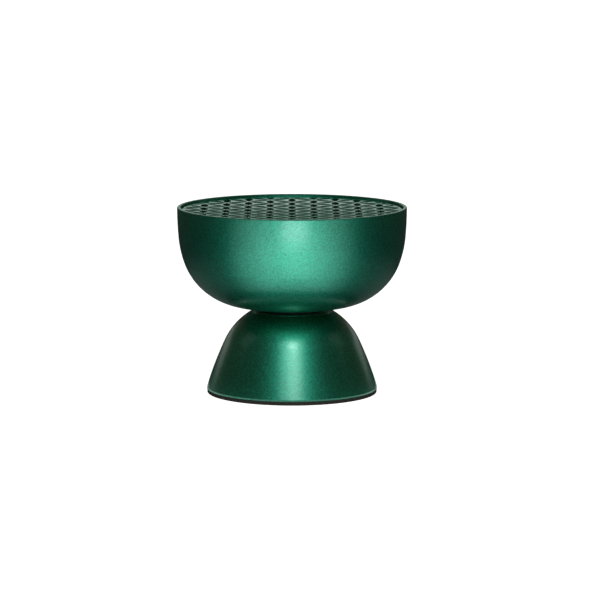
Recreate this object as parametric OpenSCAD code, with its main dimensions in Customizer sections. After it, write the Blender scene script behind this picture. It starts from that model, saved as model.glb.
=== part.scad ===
// Tabletop wireless speaker: a bowl with an upward facing driver on a dome shaped base.
// Millimetres. The origin is the centre of the foot, on the table, and +Z is up.

/* [Bowl] */
// Outer diameter of the bowl at its rim
bowl_d = 92; // [88:0.5:100]
// Wall of the bowl
bowl_wall = 1.5; // [1.2:0.1:1.9]
// Radius of the nearly upright wall below the rim
bowl_side_r = 141.2; // [120:0.2:170]
// Angle that the upright wall turns through
bowl_side_a = 5.14; // [4.4:0.02:5.9]
// Radius of the blend between the wall and the round underside
bowl_blend_r = 42.4; // [38:0.2:48]
// Angle at which the blend meets the round underside
bowl_blend_a = 21; // [18:0.1:24]
// Radius of the round underside
bowl_under_r = 26.5; // [25:0.1:29]
// Bevel on the edges of the rim
rim_bevel = 0.25; // [0.1:0.05:0.4]

/* [Base] */
// Height of the base shell
base_h = 31.8; // [30:0.1:34]
// Wall of the base shell
base_wall = 1.5; // [1.2:0.1:1.9]
// Diameter of the flat top of the base
base_top_d = 31.4; // [30.4:0.2:35]
// Height of the step round the flat top
collar_h = 0.5; // [0.3:0.05:0.7]
// Radius of the shoulder of the base
base_shoulder_r = 26.7; // [25:0.1:29]
// Lean of the shoulder where it leaves the flat top
base_top_a = 28.7; // [26:0.1:31]
// Lean of the shoulder where it meets the skirt
base_skirt_a = 64.1; // [62:0.1:66]
// Radius of the gently curved skirt
base_skirt_r = 149.4; // [130:0.2:180]
// Height of the upright band at the lower edge of the skirt
skirt_band = 0.8; // [0.6:0.05:1.2]
// Bevel under the band
skirt_bevel = 0.15; // [0.1:0.05:0.3]

/* [Foot] */
// Height of the rubber foot under the base
foot_h = 1.4; // [1.2:0.1:2]
// How far the foot stands in from the edge of the skirt
foot_inset = 0.15; // [0.1:0.05:0.8]
// Width of the rubber foot ring
foot_w = 13; // [12:0.5:16]

/* [Neck] */
// Height of the shadow gap between bowl and base
neck_gap = 1.8; // [1.5:0.1:2.5]
// Diameter of the spacer in the gap
neck_d = 26; // [25:0.5:29]
// Circle of the screws that join bowl and base
neck_circle_d = 19; // [18.5:0.1:19.5]
// Diameter of the way through for the leads
lead_way_d = 5.2; // [4.8:0.1:5.6]
// Wall of the rubber grommet in the floor of the bowl
grommet_wall = 1.2; // [1:0.1:1.4]

/* [Grille] */
// Dark gap between the rim and the grille
grille_gap = 0.6; // [0.4:0.05:1]
// How far the edge of the grille lies below the rim
grille_drop = 1.05; // [0.6:0.05:1.4]
// Depth of the grille's dish
grille_sag = 1.3; // [0.8:0.1:1.8]
// Thickness of the grille
grille_t = 0.6; // [0.5:0.05:0.9]
// Distance between neighbouring centres of the petal pattern
petal_pitch = 10.2; // [10:0.1:12]
// Width of a petal shaped opening
petal_w = 3.1; // [2.4:0.1:3.3]
// Length of a petal shaped opening
petal_l = 9.06; // [8.4:0.02:9.2]
// Plain border at the edge of the grille
grille_border = 0.9; // [0.6:0.1:2]
// Thickness of the acoustic cloth
cloth_t = 0.3; // [0.2:0.05:0.4]

/* [Driver] */
// Clear width between the baffle's screws and the driver's flange
driver_gap = 3.8; // [3:0.1:4.6]
// Width of the driver's flange
flange_w = 7.4; // [7:0.1:8]
// Depth from the top of the flange to the magnet system
basket_depth = 14.5; // [14:0.1:15.5]
// Width of the soft ring between the cone and the basket
surround_w = 5.1; // [4.6:0.1:5.6]
// How far the basket draws in from its rim to the ledge of the spider
basket_taper = 6.5; // [6:0.1:7]
// Share of the magnet's radius that the pole inside the voice coil takes
pole_share = 0.36; // [0.34:0.005:0.38]
// Height of the magnet
magnet_h = 5; // [4.5:0.1:6]
// Free travel of the cone, each way
cone_travel = 2; // [1:0.1:2]

/* [Controls] */
// Diameter of the power button
button_d = 7; // [6:0.1:7.6]
// How far the button stands out of the base
button_proud = 0.5; // [0.3:0.05:0.8]
// Travel of the button
button_travel = 0.4; // [0.25:0.05:0.5]
// Angle between the charging socket and the button, round the base
button_a = 33; // [30:0.5:36]
// Width of the charging socket
usb_w = 8.94; // [8.7:0.02:9.2]
// Height of the charging socket
usb_h = 3.26; // [3.1:0.02:3.4]
// Diameter of the light pipe
pipe_d = 2; // [1.6:0.1:2.4]

/* [Power] */
// Diameter of the battery cell
battery_d = 18.3; // [17:0.1:18.6]
// Length of the battery cell
battery_l = 35; // [33:0.5:37]
// Thickness of the circuit board
board_t = 1.6; // [1.2:0.1:1.8]
// Thickness of the chassis plate
chassis_t = 2.4; // [2.2:0.1:2.8]
// Height of the posts under the circuit board
standoff_h = 3.2; // [3:0.1:3.6]

/* [Hidden] */
$fn = 96;
fine_fn = 720;

// Colours
green = [0.06, 0.36, 0.28];
black = [0.05, 0.05, 0.05];
steel = [0.62, 0.63, 0.65];
copper = [0.72, 0.42, 0.22];
brass = [0.78, 0.65, 0.33];
white = [0.88, 0.87, 0.82];
board_green = [0.07, 0.26, 0.16];

// Clearances
cut = 1;
fit = 0.1;
glue = 0.05;
run = 0.3;
button_fit = 0.15;
seat_gap = 0.2;

// Two neighbouring arcs of an outline cross with a faint crease, and each runs on past the crossing
crease_a = 1;
crease_lap = 0.6;
function fall(a) = [cos(a), -sin(a)];
function lean(a) = [sin(a), cos(a)];

// Heights, from the table up
base_z = foot_h;
base_top_z = base_z + base_h;
bowl_z = base_top_z + neck_gap;
bowl_r = bowl_d / 2;
bowl_h = bowl_side_r * sin(bowl_side_a)
    + bowl_blend_r * (sin(bowl_blend_a) - sin(bowl_side_a + crease_a))
    + bowl_under_r * (1 - sin(bowl_blend_a + crease_a));
rim_z = bowl_z + bowl_h;
floor_z = bowl_z + bowl_wall;

// Centres of the three arcs of the bowl, as [radius, height]
side_c = [bowl_r - bowl_side_r, rim_z];
blend_c = side_c + bowl_side_r * fall(bowl_side_a) - bowl_blend_r * fall(bowl_side_a + crease_a);
under_c = blend_c + bowl_blend_r * fall(bowl_blend_a) - bowl_under_r * fall(bowl_blend_a + crease_a);

// Centres of the two arcs of the base
shoulder_c = [base_top_d / 2, base_top_z] - base_shoulder_r * lean(base_top_a);
skirt_c = shoulder_c + base_shoulder_r * lean(base_skirt_a) - base_skirt_r * lean(base_skirt_a + crease_a);

// Radius of an arc at height z
function arc_at(c, r, z) = c.x + sqrt(r * r - (z - c.y) * (z - c.y));
function bowl_side_end(inset) = side_c.y - (bowl_side_r - inset) * sin(bowl_side_a);
function bowl_blend_end(inset) = blend_c.y - (bowl_blend_r - inset) * sin(bowl_blend_a);
function bowl_at(z, inset) =
    z > bowl_side_end(inset) ? arc_at(side_c, bowl_side_r - inset, z)
    : z > bowl_blend_end(inset) ? arc_at(blend_c, bowl_blend_r - inset, z)
    : arc_at(under_c, bowl_under_r - inset, z);
function skirt_end(inset) = shoulder_c.y + (base_shoulder_r - inset) * cos(base_skirt_a);
function base_at(z, inset) =
    z > skirt_end(inset) ? arc_at(shoulder_c, base_shoulder_r - inset, z)
    : arc_at(skirt_c, base_skirt_r - inset, z);

// Radius of the skirt's band, and how far the step on top stands in from the shoulder
skirt_r = base_at(base_z + skirt_band, 0);
collar_in = 0.2;

// Grille and what lies under it
rim_in_r = bowl_r - bowl_wall;
grille_r = rim_in_r - grille_gap;
dish_r = (grille_r * grille_r + grille_sag * grille_sag) / (2 * grille_sag);
dish_z = rim_z - grille_drop - grille_sag + dish_r;
petal_r = (petal_l * petal_l + petal_w * petal_w) / (4 * petal_w);
petal_least = 1.4;
border_r = grille_r - grille_border;
cloth_margin = 0.7;
cloth_r = border_r + cloth_margin;
carrier_wall = 1.6;
carrier_lip = 1.6;

// Screws
screw_r = 1;
screw_head_r = 1.9;
screw_head_h = 1.4;
screw_tip = 1;
neck_screw_r = 1.25;
neck_head_r = 2.2;
neck_head_h = 1.8;
post_r = 2.9;
post_hole = 7;
boss_r = 2.5;
boss_h = 3.8;
boss_cap = 0.8;
baffle_screws_n = 4;
baffle_screws_a = 30;
driver_screws_n = 4;
neck_screws_n = 3;

// Baffle and driver
baffle_drop = 9.8;
baffle_t = 2.5;
baffle_z = rim_z - baffle_drop;
baffle_r = bowl_at(baffle_z - baffle_t, bowl_wall) - seat_gap;
gasket_t = 0.8;
flange_t = 1;
flange_z = baffle_z + gasket_t + flange_t;
baffle_screw_in = 5;
baffle_circle_r = baffle_r - baffle_screw_in;
driver_r = baffle_circle_r - screw_head_r - driver_gap;
basket_r = driver_r - flange_w;
driver_hole_gap = 0.8;
driver_hole_r = basket_r + driver_hole_gap;
basket_z = flange_z - basket_depth;
sheet_t = 1;
ledge_h = 2;
ledge_z = basket_z + ledge_h;
ledge_r = basket_r - basket_taper;
ledge_w = 2.6;
cup_r = ledge_r - ledge_w;
magnet_edge = 0.5;
magnet_r = cup_r + 2 * magnet_edge;
cone_r = basket_r - surround_w;
pole_r = pole_share * magnet_r;
former_r = pole_r + run;
former_t = 0.15;
coil_t = 0.4;
coil_r = former_r + former_t + coil_t;
former_foot = 0.4;
spider_glue_w = 1.2;
plate_t = 2;
plate_in_r = coil_r + run;
plate_lip = 2;
magnet_in_r = plate_in_r + plate_lip;
plate_z = basket_z - plate_t;
magnet_z = plate_z - magnet_h;
yoke_t = 2.2;
yoke_z = magnet_z - yoke_t;
coil_overhang = 0.6 * cone_travel;
coil_z = plate_z - coil_overhang;
coil_h = plate_t + 2 * coil_overhang;
spider_t = 0.6;
spider_rise = 2.4;
neck_r = former_r + former_t + seat_gap;
cone_t = 0.5;
cone_gap = 0.5;
cone_z = ledge_z + spider_rise + spider_t + cone_gap;
surround_drop = 2.4;
cone_top_z = flange_z - surround_drop - seat_gap - cone_t;
function cone_at(r) = cone_z + (cone_top_z - cone_z) * (r - neck_r) / (cone_r - neck_r);
cap_lap = 2.2;
cap_r = neck_r + cap_lap;
cap_h = 2.6;
cap_t = 0.4;
surround_t = 0.5;
surround_lip_in = 1.6;
surround_lip_out = 3.4;
surround_waves = 2;
spider_waves = 3;
vent_r = 1.8;
window_n = 4;
window_share = 1.15;
window_w = window_share * ledge_r;
tab_w = 10;
tab_l = 4;
tag_w = 2.2;
tag_t = 0.5;
strip_t = 0.6;

// Places of the driver's screws and the grommet
driver_circle_r = driver_r - screw_head_r - seat_gap;
grommet_r = lead_way_d / 2 + grommet_wall;
grommet_lip = 1.2;

// Base
chassis_top_z = base_z + chassis_t;
board_z = chassis_top_z + standoff_h;
board_top_z = board_z + board_t;
board_edge_gap = 0.9;
board_r = base_at(board_top_z, base_wall) - board_edge_gap;
chassis_post_r = 2.6;
chassis_screw_in = 4;
chassis_circle_r = board_r - chassis_screw_in;
chassis_post_a = [30, 150, 270];
battery_r = battery_d / 2;
battery_floor = 0.9;
battery_z = chassis_top_z + battery_floor + battery_r + fit;
clip_t = 1.6;
clip_w = 3;
clip_rise = 3;
board_gap = 1.4;
clip_back_y = 0.6;
battery_y = clip_back_y - battery_r - fit - clip_t;
board_front_y = battery_y + battery_r + fit + clip_t + board_gap;
clip_in = 6;
clip_x = battery_l / 2 - clip_in;
standoff_r = 2.4;
standoff_floor = 1;
board_unit = board_r / 10;
standoffs = [for (p = [[-4.4, 1.4], [4.4, 1.4], [0, 5.1]]) board_unit * p + [0, board_front_y]];

// Charging socket, button and light at the back of the base
usb_l = 7.35;
usb_wall = 0.3;
usb_z = board_top_z + usb_h / 2;
usb_mouth_y = base_at(usb_z + usb_h / 2, 0) - seat_gap;
tongue_t = 0.7;
tongue_l = 5;
tongue_back = 1;
tongue_side = 0.8;
tact_w = 6;
tact_depth = 3.6;
button_z = board_top_z + tact_w / 2;
button_r = button_d / 2;
button_lip = 0.9;
button_lip_t = 0.9;
button_lip_r = button_r + button_lip;
button_lip_x = base_at(button_z + button_lip_r, base_wall) - run;
stem_r = 1.4;
stem_l = 1.6;
plunger_r = 1.7;
plunger_proud = 0.8;
plunger_in = 1.2;
tact_face_x = button_lip_x - button_lip_t - stem_l - plunger_proud;
led_h = 2.4;
led_w = 2.6;
led_depth = 1.6;
led_back = 3.4;
pipe_r = pipe_d / 2;
pipe_z = board_top_z + led_h / 2;
led_face_x = board_r - led_back;

// Parts on the board
part_gap = 0.6;
radio_at = board_unit * [-0.35, 1.5];
radio_size = [11, 7.5, 1.9];
chip_at = board_unit * [2.7, 3.2];
chip_size = [5, 5, 0.9];
inductor_size = [4, 4, 2.2];
inductor_apart = 5;
inductor_x = led_face_x - led_depth - part_gap - inductor_size.y / 2;
capacitor_r = 2.5;
capacitor_h = 6;
capacitor_apart = 5.6;
capacitor_x = tact_face_x - tact_depth - part_gap - capacitor_r;
connector_w = 6;
connector_depth = 4.5;
connector_h = 5;
speaker_plug = board_unit * [5.1, 2.9] + [0, board_front_y];
battery_plug = board_unit * [-6.6, 1] + [0, board_front_y];

// Leads
lead_d = 1.2;
lead_sides = 8;
lead_steps = 4;
lead_apart = 1.1;
tag_x = 2.4;
tag_out_y = ledge_r + tab_l + 1.4;
connector_top_z = board_top_z + connector_h + seat_gap;
speaker_route = [
    [tag_x, tag_out_y + 0.2, ledge_z + 0.9],
    [tag_x, tag_out_y + 1.6, ledge_z - 0.6],
    [2.2, tag_out_y + 1, ledge_z - 5],
    [1.8, magnet_r + 2.6, yoke_z + 1],
    [1.4, 12, floor_z + 3.2],
    [lead_apart, 3, floor_z + 2.2],
    [lead_apart, 0, floor_z - 0.5],
    [lead_apart, 0, base_top_z - 2],
    [2.4, 2.4, base_top_z - 7],
    [9, 6.5, base_top_z - 11],
    [speaker_plug.x - 0.6, speaker_plug.y - 1, connector_top_z + 4],
    [speaker_plug.x, speaker_plug.y, connector_top_z]];
battery_route = [
    [-battery_l / 2 - seat_gap, battery_y, battery_z + 2],
    [-battery_l / 2 - 2, battery_y + 0.5, battery_z + 2.2],
    [-battery_l / 2 - 3.4, battery_y + 5, battery_z + 4],
    [battery_plug.x - 0.6, battery_plug.y - 3.5, connector_top_z + 4.2],
    [battery_plug.x, battery_plug.y - 0.6, connector_top_z + 2.6],
    [battery_plug.x, battery_plug.y, connector_top_z]];

// Part of a disc about c between two heights, filled in to the axis
module slab(c, r, z0, z1) {
    intersection() {
        translate([0, z0]) square([c.x + r + cut, z1 - z0]);
        union() {
            translate(c) circle(r, $fn = fine_fn);
            translate([0, z0]) square([max(c.x, 1), z1 - z0]);
        }
    }
}

// Half section of the bowl's outer form, drawn in by inset and carried up past the rim by rise
module bowl_section(inset = 0, rise = 0) {
    bottom = bowl_z + inset;
    top = rim_z + rise;
    blend_top = bowl_side_end(inset) + crease_lap;
    under_top = bowl_blend_end(inset) + crease_lap;
    intersection() {
        slab(side_c, bowl_side_r - inset, bottom, top);
        union() {
            slab(blend_c, bowl_blend_r - inset, bottom, blend_top);
            translate([0, blend_top - glue]) square([bowl_d, top - blend_top + glue]);
        }
        union() {
            slab(under_c, bowl_under_r - inset, bottom, under_top);
            translate([0, under_top - glue]) square([bowl_d, top - under_top + glue]);
        }
    }
}

// Half section of the base's outer form, drawn in by inset and carried down past the skirt by drop
module base_section(inset = 0, drop = 0) {
    bottom = base_z - drop;
    top = base_top_z - inset;
    shoulder_foot = skirt_end(inset) - crease_lap;
    intersection() {
        slab(skirt_c, base_skirt_r - inset, bottom, top);
        union() {
            slab(shoulder_c, base_shoulder_r - inset, shoulder_foot, top);
            translate([0, bottom]) square([bowl_d, shoulder_foot - bottom + glue]);
        }
    }
}

// Square on its corner that takes a bevel off an edge at p
module bevel_at(p, size) {
    translate(p) rotate(45) square(size * sqrt(2), center = true);
}

// Washer shape: a ring between two radii and two heights
module ring(r_in, r_out, z0, z1) {
    rotate_extrude() translate([r_in, z0]) square([r_out - r_in, z1 - z0]);
}

// Copies round the axis at angles worked out from a count
module around(count, first = 0) {
    for (i = [0 : count - 1]) rotate(first + 360 / count * i) children();
}

// Screw with its head below z = 0, a hexagon socket in it, and its shank up to z = length
module screw(shank_r, head_r, head_h, length) {
    difference() {
        union() {
            translate([0, 0, -head_h / 2]) cylinder(r = shank_r, h = length + head_h / 2);
            translate([0, 0, -head_h]) cylinder(r = head_r, h = head_h);
        }
        translate([0, 0, -head_h - cut]) cylinder(r = head_r / 2, h = head_h / 2 + cut, $fn = 6);
    }
}

// Box centred on x and y that stands on z
module block(p, size) {
    translate([p.x - size.x / 2, p.y - size.y / 2, p.z]) cube(size);
}

// Flat slot shape with round ends, across x
module slot_2d(w, h) {
    for (s = [-1, 1]) translate([s * (w - h) / 2, 0]) circle(h / 2);
    square([w - h, h], center = true);
}

// Turns a shape that stands on z = 0 so that it points outwards, turned by a from the back of the base
module outwards(a, z) {
    rotate(a) translate([0, 0, z]) rotate([-90, 0, 0]) children();
}

// Smooth curve through the points of a route
function mid(p, i, t) =
    let (a = p[max(i - 1, 0)], b = p[i], c = p[i + 1], d = p[min(i + 2, len(p) - 1)])
    b + 0.5 * t * (c - a + t * (2 * a - 5 * b + 4 * c - d + t * (3 * (b - c) + d - a)));
function smooth(p) = [
    for (i = [0 : len(p) - 2]) for (k = [0 : lead_steps - 1]) mid(p, i, k / lead_steps),
    p[len(p) - 1]];
function unit(v) = v / norm(v);
function along(p, i) = unit(p[min(i + 1, len(p) - 1)] - p[max(i - 1, 0)]);
function level(v, t) = unit(v - (v * t) * t);
function sides(p, i, v) = i == len(p) ? [] :
    let (n = level(v, along(p, i))) concat([n], sides(p, i + 1, n));

// Round tube along a route, as one closed solid of triangles
module lead(route, d, side) {
    p = smooth(route);
    n = sides(p, 0, side);
    m = lead_sides;
    rows = len(p);
    points = [for (i = [0 : rows - 1]) for (k = [0 : m - 1])
        p[i] + d / 2 * (cos(360 * k / m) * n[i] + sin(360 * k / m) * cross(along(p, i), n[i]))];
    walls = [for (i = [0 : rows - 2]) for (k = [0 : m - 1])
        let (a = i * m + k, b = i * m + (k + 1) % m)
        each [[a, a + m, b], [b, a + m, b + m]]];
    start = [for (k = [1 : m - 2]) [0, k, k + 1]];
    last = (rows - 1) * m;
    end = [for (k = [1 : m - 2]) [last, last + k + 1, last + k]];
    polyhedron(points, concat(walls, start, end));
}

// Bowl

module bowl_shell() {
    color(green) difference() {
        union() {
            rotate_extrude() difference() {
                bowl_section();
                bowl_section(bowl_wall, cut);
                translate([0, bowl_z - cut]) square([grommet_r + fit, bowl_wall + 2 * cut]);
                bevel_at([bowl_r, rim_z], rim_bevel);
                bevel_at([rim_in_r, rim_z], rim_bevel);
            }
            intersection() {
                around(baffle_screws_n, baffle_screws_a) translate([baffle_circle_r, 0, bowl_z])
                    cylinder(r = post_r, h = baffle_z - baffle_t - bowl_z);
                rotate_extrude() bowl_section(bowl_wall / 2);
            }
            around(neck_screws_n) translate([neck_circle_d / 2, 0, floor_z - bowl_wall / 2])
                cylinder(r = boss_r, h = boss_h + bowl_wall / 2);
        }
        around(baffle_screws_n, baffle_screws_a)
            translate([baffle_circle_r, 0, baffle_z - baffle_t - post_hole])
            cylinder(r = screw_r + fit, h = post_hole + cut);
        around(neck_screws_n) translate([neck_circle_d / 2, 0, bowl_z - cut])
            cylinder(r = neck_screw_r + fit, h = bowl_wall + boss_h - boss_cap + cut);
    }
}

// Openings along one of the three directions of the triangular pattern. An opening that the plain
// border would cut down to less than petal_least is left out.
module petals(direction) {
    step = petal_pitch * [cos(direction), sin(direction)];
    tip = step * petal_l / petal_pitch / 2;
    reach = ceil(grille_r / petal_pitch) + 1;
    for (i = [-reach : reach]) for (j = [-reach : reach]) {
        p = petal_pitch * [i * sin(60), j + (i % 2 == 0 ? 0 : 0.5)] + step / 2;
        if (min(norm(p - tip), norm(p + tip)) < border_r - petal_least)
            translate(p) rotate(direction) intersection_for (s = [-1, 1])
                translate([0, s * (petal_r - petal_w / 2)]) circle(petal_r);
    }
}

// Half section of a dished sheet whose top lies below the grille's top face by depth
module dish_section(r, depth, t) {
    intersection() {
        translate([0, rim_z - baffle_drop]) square([r, baffle_drop]);
        translate([0, dish_z]) difference() {
            circle(dish_r + depth + t, $fn = fine_fn * 2);
            circle(dish_r + depth, $fn = fine_fn * 2);
        }
    }
}

module grille() {
    color(green) intersection() {
        rotate_extrude() dish_section(grille_r, 0, grille_t);
        translate([0, 0, baffle_z]) linear_extrude(baffle_drop) difference() {
            circle(grille_r + cut);
            intersection() {
                circle(border_r);
                for (a = [30, 90, 150]) petals(a);
            }
        }
    }
}

module grille_cloth() {
    color(black) rotate_extrude() dish_section(cloth_r, grille_t + glue, cloth_t);
}

// Height of a dished face at radius r, below the grille's top face by depth
function dish_at(r, depth) = dish_z - sqrt((dish_r + depth) * (dish_r + depth) - r * r);

// Ring on the baffle that carries the edges of the cloth and the grille, and shows as the dark gap
module grille_carrier() {
    out_r = bowl_at(baffle_z, bowl_wall) - seat_gap;
    lip_r = border_r - carrier_lip;
    step_r = cloth_r + glue;
    land = grille_t + glue;
    pocket = land + cloth_t + glue;
    lip_z = dish_at(grille_r, pocket) - carrier_lip;
    color(black) rotate_extrude() polygon([[out_r - carrier_wall, baffle_z], [out_r, baffle_z],
        [out_r, dish_at(grille_r, land)], [grille_r, dish_at(grille_r, land)],
        [step_r, dish_at(step_r, land)], [step_r, dish_at(step_r, pocket)],
        [lip_r, dish_at(lip_r, pocket)], [lip_r, lip_z], [out_r - carrier_wall, lip_z]]);
}

module baffle() {
    color(black) difference() {
        ring(driver_hole_r, baffle_r, baffle_z - baffle_t, baffle_z);
        around(baffle_screws_n, baffle_screws_a) translate([baffle_circle_r, 0, baffle_z - baffle_t - cut])
            cylinder(r = screw_r + fit, h = baffle_t + 2 * cut);
        around(driver_screws_n, 45) translate([driver_circle_r, 0, baffle_z - baffle_t - cut])
            cylinder(r = screw_r + fit, h = baffle_t + 2 * cut);
    }
}

module baffle_screws() {
    color(steel) around(baffle_screws_n, baffle_screws_a) translate([baffle_circle_r, 0, baffle_z])
        mirror([0, 0, 1]) screw(screw_r, screw_head_r, screw_head_h, baffle_t + post_hole - screw_tip);
}

// Driver

module driver_gasket() {
    color(black) difference() {
        ring(driver_hole_r, driver_r, baffle_z, baffle_z + gasket_t);
        around(driver_screws_n, 45) translate([driver_circle_r, 0, baffle_z - cut])
            cylinder(r = screw_r + fit, h = gasket_t + 2 * cut);
    }
}

// Half section of the pressed basket: flange, open cone, spider ledge and cup
module basket_section() {
    under = flange_z - flange_t;
    lap = sheet_t / 2;
    translate([basket_r - sheet_t, under]) square([driver_r - basket_r + sheet_t, flange_t]);
    polygon([[basket_r - sheet_t, flange_z], [basket_r, under], [ledge_r + sheet_t, ledge_z - sheet_t],
        [ledge_r - lap, ledge_z - sheet_t], [ledge_r - lap, ledge_z], [ledge_r, ledge_z]]);
    translate([cup_r - sheet_t, ledge_z - sheet_t]) square([ledge_r - cup_r + sheet_t, sheet_t]);
    translate([cup_r - sheet_t, basket_z]) square([sheet_t, ledge_z - basket_z]);
    translate([magnet_in_r, basket_z]) square([cup_r - magnet_in_r, sheet_t]);
}

module driver_basket() {
    window_h = flange_z - flange_t - ledge_z - sheet_t;
    color(steel) difference() {
        union() {
            rotate_extrude() basket_section();
            block([0, ledge_r + tab_l / 2, ledge_z - sheet_t], [tab_w, tab_l + sheet_t, sheet_t]);
        }
        around(window_n) translate([-window_w / 2, ledge_r - run, ledge_z])
            cube([window_w, driver_r, window_h]);
        around(driver_screws_n, 45) translate([driver_circle_r, 0, baffle_z])
            cylinder(r = screw_r + fit, h = baffle_drop);
    }
}

module driver_screws() {
    color(steel) around(driver_screws_n, 45) translate([driver_circle_r, 0, flange_z])
        mirror([0, 0, 1]) screw(screw_r, screw_head_r, screw_head_h, flange_t + gasket_t + baffle_t);
}

// Half section of a cupped sheet with rounded pleats, from point a out to point b
module pleats(a, b, t, waves) {
    polygon([a, b, b + [0, t], a + [0, t]]);
    for (i = [0.5 : waves - 0.5]) translate(a + (b - a) * i / waves + [0, t / 2]) circle(t);
}

// Soft ring from the edge of the cone up to the flange of the basket
module surround() {
    inner = [cone_r, flange_z - surround_drop];
    outer = [basket_r - sheet_t - run, flange_z];
    color(black) rotate_extrude() {
        translate(inner - [surround_lip_in, 0]) square([surround_lip_in, surround_t]);
        pleats(inner, outer, surround_t, surround_waves);
        translate(outer) square([surround_lip_out, surround_t]);
    }
}

module cone() {
    color(black) rotate_extrude() polygon([[neck_r, cone_z], [cone_r, cone_top_z],
        [cone_r, cone_top_z + cone_t], [neck_r, cone_z + cone_t]]);
}

module dust_cap() {
    cap_z = cone_at(cap_r) + cone_t + glue;
    ball_r = (cap_r * cap_r + cap_h * cap_h) / (2 * cap_h);
    color(black) rotate_extrude() intersection() {
        translate([0, cap_z]) square([cap_r, cap_h]);
        translate([0, cap_z + cap_h - ball_r]) difference() {
            circle(ball_r);
            circle(ball_r - cap_t);
        }
    }
}

module coil_former() {
    color(brass) ring(former_r, former_r + former_t, coil_z - former_foot, cone_z + 2 * cone_t);
}

module voice_coil() {
    color(copper) ring(former_r + former_t, coil_r, coil_z, coil_z + coil_h);
}

// Pleated ring from the voice coil out and down to the ledge of the basket
module spider() {
    inner = [neck_r, ledge_z + spider_rise];
    outer = [ledge_r - run - spider_glue_w, ledge_z];
    color([0.75, 0.62, 0.3]) rotate_extrude() {
        pleats(inner, outer, spider_t, spider_waves);
        translate(outer) square([spider_glue_w, spider_t]);
    }
}

module top_plate() {
    color(steel) ring(plate_in_r, magnet_r - magnet_edge, plate_z, basket_z);
}

module magnet() {
    color([0.2, 0.2, 0.21]) ring(magnet_in_r, magnet_r, magnet_z, plate_z);
}

module yoke() {
    color(steel) rotate_extrude() difference() {
        union() {
            translate([0, yoke_z]) square([magnet_r - magnet_edge, yoke_t]);
            translate([0, yoke_z]) square([pole_r, basket_z - yoke_z]);
        }
        translate([0, yoke_z - cut]) square([vent_r, basket_z - yoke_z + 2 * cut]);
    }
}

module terminal_strip() {
    color([0.45, 0.3, 0.16]) block([0, ledge_r + tab_l / 2 + sheet_t / 2, ledge_z],
        [tab_w, tab_l - sheet_t, strip_t]);
}

module terminal_tags() {
    tag_l = tag_out_y - ledge_r - tab_l / 2;
    for (s = [-1, 1]) color(brass) difference() {
        block([s * tag_x, tag_out_y - tag_l / 2, ledge_z + strip_t], [tag_w, tag_l, tag_t]);
        translate([s * tag_x, tag_out_y - tag_w / 2, ledge_z + strip_t - cut])
            cylinder(r = tag_w / 4, h = tag_t + 2 * cut);
    }
}

module speaker_leads() {
    color([0.6, 0.05, 0.05]) lead(speaker_route, lead_d, [1, 0, 0]);
    color(black) lead([for (i = [0 : len(speaker_route) - 1])
        let (p = speaker_route[i], turn = i < len(speaker_route) - 4)
        turn ? [-p.x, p.y, p.z] : p - [2, -0.4, 0]], lead_d, [1, 0, 0]);
}

// Neck

module cable_grommet() {
    color(black) rotate_extrude() difference() {
        union() {
            translate([0, bowl_z]) square([grommet_r, bowl_wall + grommet_lip]);
            translate([0, floor_z]) square([grommet_r + grommet_lip, grommet_lip]);
        }
        translate([0, bowl_z - cut]) square([lead_way_d / 2, bowl_wall + grommet_lip + 2 * cut]);
    }
}

module neck_spacer() {
    color(black) difference() {
        ring(lead_way_d / 2, neck_d / 2, base_top_z, bowl_z);
        around(neck_screws_n) translate([neck_circle_d / 2, 0, base_top_z - cut])
            cylinder(r = neck_screw_r + fit, h = neck_gap + 2 * cut);
    }
}

module neck_screws() {
    color(steel) around(neck_screws_n) translate([neck_circle_d / 2, 0, base_top_z - base_wall])
        screw(neck_screw_r, neck_head_r, neck_head_h,
            base_wall + neck_gap + bowl_wall + boss_h - boss_cap - screw_tip);
}

// Base

module base_shell() {
    color(green) difference() {
        union() {
            rotate_extrude() difference() {
                base_section();
                base_section(base_wall, cut);
                translate([0, base_top_z - base_wall - cut])
                    square([lead_way_d / 2, base_wall + 2 * cut]);
                translate([skirt_r, base_z - cut]) square([bowl_d, base_h / 2]);
                bevel_at([skirt_r, base_z], skirt_bevel);
                translate([base_top_d / 2 - collar_in, base_top_z - collar_h])
                    square([bowl_d, collar_h + cut]);
            }
            intersection() {
                for (a = chassis_post_a) rotate(a) translate([chassis_circle_r, 0, chassis_top_z])
                    cylinder(r = chassis_post_r, h = base_h);
                rotate_extrude() base_section(base_wall / 2);
            }
        }
        around(neck_screws_n) translate([neck_circle_d / 2, 0, base_top_z - base_wall - cut])
            cylinder(r = neck_screw_r + fit, h = base_wall + 2 * cut);
        for (a = chassis_post_a) rotate(a) translate([chassis_circle_r, 0, base_z])
            cylinder(r = screw_r + fit, h = chassis_t + post_hole);
        outwards(0, usb_z) translate([0, 0, board_r - 4])
            linear_extrude(base_top_d) slot_2d(usb_w + 2 * seat_gap, usb_h + 2 * seat_gap);
        outwards(button_a, button_z) translate([0, 0, button_lip_x - button_lip_t])
            cylinder(r = button_r + button_fit, h = base_top_d);
        outwards(-button_a, pipe_z) translate([0, 0, led_face_x])
            cylinder(r = pipe_r + fit, h = base_top_d);
    }
}

// Saddle that the battery snaps into, seen from its end
module clip_2d() {
    r = battery_r + fit;
    difference() {
        union() {
            translate([battery_y, battery_z]) circle(r + clip_t);
            translate([battery_y - r + clip_t, chassis_top_z - glue])
                square([2 * (r - clip_t), battery_z - chassis_top_z]);
        }
        translate([battery_y, battery_z]) circle(r);
        translate([battery_y - 2 * r, battery_z + clip_rise]) square(4 * r);
        translate([battery_y - 2 * r, chassis_top_z - glue - 2 * r]) square([4 * r, 2 * r]);
    }
}

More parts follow.
